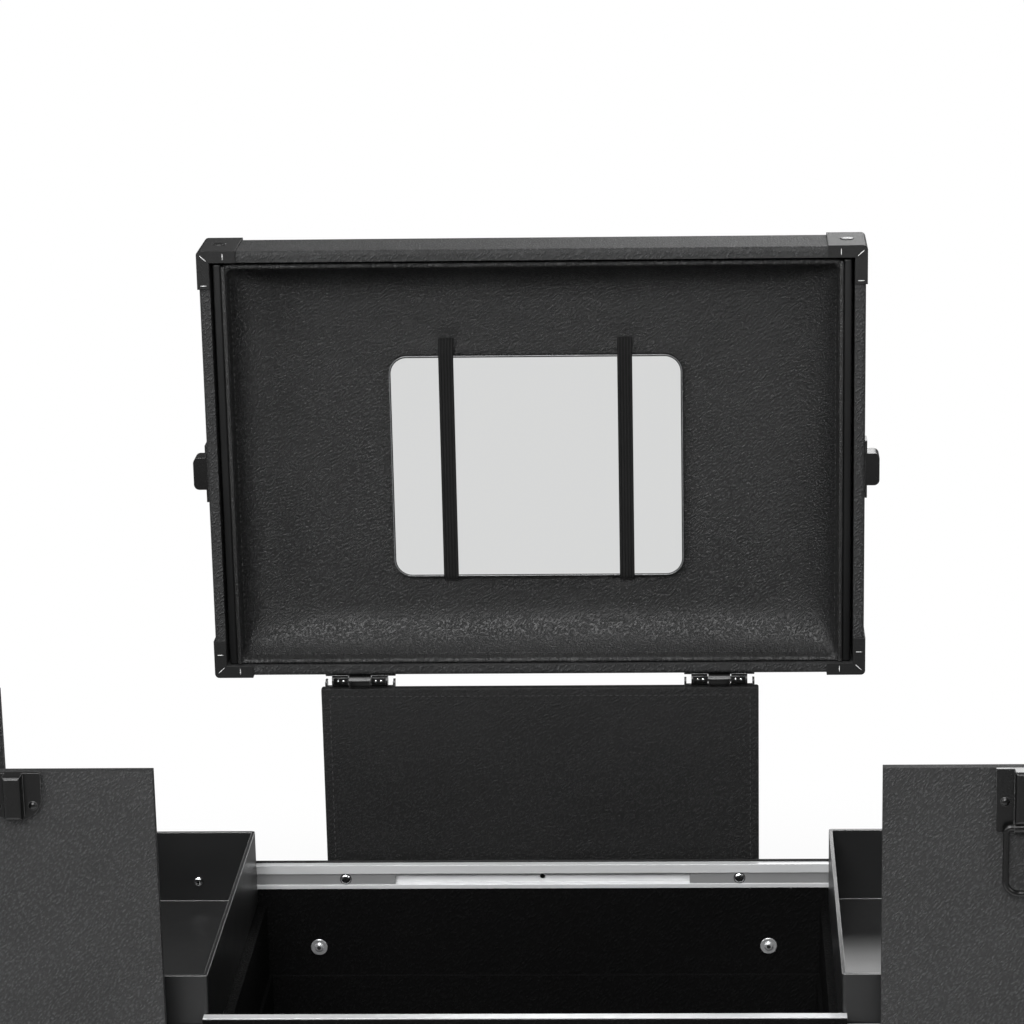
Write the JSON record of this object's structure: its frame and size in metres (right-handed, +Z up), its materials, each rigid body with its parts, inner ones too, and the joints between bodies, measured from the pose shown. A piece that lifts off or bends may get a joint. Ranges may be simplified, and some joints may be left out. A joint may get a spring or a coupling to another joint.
{
  "type": "rolling makeup case",
  "caption": "Rolling makeup case with a mirrored lid, outward-sliding wings and trays, a deep compartment, drawers, trolley handle and swivel casters.",
  "frame": {"origin": "on the floor, under the middle of the open case's outline", "axes": "+X to the case's right-hand side as seen from the front, +Y to the back, +Z up"},
  "size_m": [0.7436, 0.3202, 0.9394],
  "materials": {
    "leatherette": "matt black pebbled leatherette over board",
    "stitched_leatherette": "fine grained black leatherette, stitched round its edge",
    "lining": "soft black leatherette lining",
    "corner_leather": "smooth black with light stitching",
    "board": "black lined board",
    "tray_plastic": "black satin plastic",
    "button_plastic": "dark grey plastic",
    "aluminium": "brushed",
    "black_metal": "black satin paint",
    "steel": "bright zinc",
    "mirror": "silvered",
    "elastic": "ribbed black elastic",
    "wheel_rubber": "black rubber"
  },
  "bodies": {
    "case": {"compartment_box": "lining", "guide_channels": "aluminium", "bar_guides": "tray_plastic", "stitched_back_panel": "stitched_leatherette", "panel_hinge_leaves": "black_metal", "deck_board": "leatherette", "cabinet_sides": "leatherette", "cabinet_back": "leatherette", "cabinet_base": "board", "front_apron": "leatherette", "drawer_shelves": "board", "drawer_runners": "steel", "cabinet_edging": "aluminium", "compartment_rivets": "steel", "trolley_sleeves": "steel", "trolley_brackets": "tray_plastic", "caster_plates": "steel"},
    "lid": {"lid_shell": "leatherette", "lid_lining": "lining", "lid_corner_caps": "corner_leather", "lid_catches": "black_metal", "mirror_frame": "black_metal", "mirror_glass": "mirror", "mirror_straps": "elastic", "lid_hinge_leaves": "black_metal"},
    "left_wing": {"left_wing_shell": "leatherette", "left_wing_bars": "aluminium", "left_front_keeper": "black_metal", "left_latch_plate": "black_metal"},
    "right_wing": {"right_wing_shell": "leatherette", "right_wing_bars": "aluminium", "right_ring_plate": "black_metal", "right_latch_plate": "black_metal"},
    "left_tray": {"left_tray": "tray_plastic"},
    "right_tray": {"right_tray": "tray_plastic"},
    "left_strips": {"left_slide_strips": "aluminium"},
    "right_strips": {"right_slide_strips": "aluminium"},
    "ring_pull": {"right_ring_pull": "black_metal"},
    "left_bail": {"left_latch_bail": "black_metal"},
    "right_bail": {"right_latch_bail": "black_metal"},
    "handle": {"trolley_tubes": "steel", "trolley_grip": "tray_plastic"},
    "handle_button": {"trolley_button": "button_plastic"},
    "drawer_1": {"drawer_1_box": "board", "drawer_1_front": "leatherette", "drawer_1_pull": "black_metal"},
    "drawer_2": {"drawer_2_box": "board", "drawer_2_front": "leatherette", "drawer_2_pull": "black_metal"},
    "drawer_3": {"drawer_3_box": "board", "drawer_3_front": "leatherette", "drawer_3_pull": "black_metal"},
    "front_left_swivel": {"front_left_fork": "steel"},
    "front_left_roller": {"front_left_wheel": "wheel_rubber"},
    "front_right_swivel": {"front_right_fork": "steel"},
    "front_right_roller": {"front_right_wheel": "wheel_rubber"},
    "rear_left_swivel": {"rear_left_fork": "steel"},
    "rear_left_roller": {"rear_left_wheel": "wheel_rubber"},
    "rear_right_swivel": {"rear_right_fork": "steel"},
    "rear_right_roller": {"rear_right_wheel": "wheel_rubber"}
  },
  "joints": [
    {"name": "lid_hinge", "type": "hinge", "parent": "case", "child": "lid", "pos_m": [0, 0.1021, 0.6948], "axis": [1, 0, 0], "range_deg": [0, 90]},
    {"name": "left_wing_slide", "type": "slide", "parent": "case", "child": "left_wing", "axis": [1, 0, 0], "range_m": [0, 0.1787]},
    {"name": "left_tray_slide", "type": "slide", "parent": "case", "child": "left_tray", "axis": [1, 0, 0], "range_m": [0, 0.16005]},
    {"name": "left_strip_slide", "type": "slide", "parent": "case", "child": "left_strips", "axis": [1, 0, 0], "range_m": [0, 0.08005]},
    {"name": "right_wing_slide", "type": "slide", "parent": "case", "child": "right_wing", "axis": [-1, 0, 0], "range_m": [0, 0.1787]},
    {"name": "right_tray_slide", "type": "slide", "parent": "case", "child": "right_tray", "axis": [-1, 0, 0], "range_m": [0, 0.16005]},
    {"name": "right_strip_slide", "type": "slide", "parent": "case", "child": "right_strips", "axis": [-1, 0, 0], "range_m": [0, 0.08005]},
    {"name": "ring_pull_swing", "type": "hinge", "parent": "right_wing", "child": "ring_pull", "pos_m": [0.2475, -0.1531, 0.7001], "axis": [-1, 0, 0], "range_deg": [0, 100]},
    {"name": "right_bail_swing", "type": "hinge", "parent": "right_wing", "child": "right_bail", "pos_m": [0.3694, -0.0171, 0.6795], "axis": [0, -1, 0], "range_deg": [0, 175]},
    {"name": "left_bail_swing", "type": "hinge", "parent": "left_wing", "child": "left_bail", "pos_m": [-0.3694, -0.0171, 0.6795], "axis": [0, 1, 0], "range_deg": [0, 175]},
    {"name": "drawer_1_slide", "type": "slide", "parent": "case", "child": "drawer_1", "axis": [0, -1, 0], "range_m": [0, 0.18]},
    {"name": "drawer_2_slide", "type": "slide", "parent": "case", "child": "drawer_2", "axis": [0, -1, 0], "range_m": [0, 0.18]},
    {"name": "drawer_3_slide", "type": "slide", "parent": "case", "child": "drawer_3", "axis": [0, -1, 0], "range_m": [0, 0.18]},
    {"name": "handle_slide", "type": "slide", "parent": "case", "child": "handle", "axis": [0, 0, 1], "range_m": [0, 0.38]},
    {"name": "button_press", "type": "slide", "parent": "handle", "child": "handle_button", "axis": [0, 0, -1], "range_m": [0, 0.002], "stiffness_N_per_m": 300, "springref_m": -0.002},
    {"name": "front_left_swivel_turn", "type": "hinge", "parent": "case", "child": "front_left_swivel", "pos_m": [-0.148, -0.09775, 0.0677], "axis": [0, 0, 1], "continuous": true},
    {"name": "front_left_wheel_roll", "type": "hinge", "parent": "front_left_swivel", "child": "front_left_roller", "pos_m": [-0.148, -0.07775, 0.028], "axis": [1, 0, 0], "continuous": true},
    {"name": "front_right_swivel_turn", "type": "hinge", "parent": "case", "child": "front_right_swivel", "pos_m": [0.148, -0.09775, 0.0677], "axis": [0, 0, 1], "continuous": true},
    {"name": "front_right_wheel_roll", "type": "hinge", "parent": "front_right_swivel", "child": "front_right_roller", "pos_m": [0.148, -0.07775, 0.028], "axis": [1, 0, 0], "continuous": true},
    {"name": "rear_left_swivel_turn", "type": "hinge", "parent": "case", "child": "rear_left_swivel", "pos_m": [-0.148, 0.05425, 0.0677], "axis": [0, 0, 1], "continuous": true},
    {"name": "rear_left_wheel_roll", "type": "hinge", "parent": "rear_left_swivel", "child": "rear_left_roller", "pos_m": [-0.148, 0.07425, 0.028], "axis": [1, 0, 0], "continuous": true},
    {"name": "rear_right_swivel_turn", "type": "hinge", "parent": "case", "child": "rear_right_swivel", "pos_m": [0.148, 0.05425, 0.0677], "axis": [0, 0, 1], "continuous": true},
    {"name": "rear_right_wheel_roll", "type": "hinge", "parent": "rear_right_swivel", "child": "rear_right_roller", "pos_m": [0.148, 0.07425, 0.028], "axis": [1, 0, 0], "continuous": true}
  ],
  "couplings": [
    {"joint": "left_tray_slide", "follows": "left_wing_slide", "ratio": 0.89536},
    {"joint": "left_strip_slide", "follows": "left_wing_slide", "ratio": 0.44768},
    {"joint": "right_tray_slide", "follows": "right_wing_slide", "ratio": 0.89536},
    {"joint": "right_strip_slide", "follows": "right_wing_slide", "ratio": 0.44768}
  ]
}
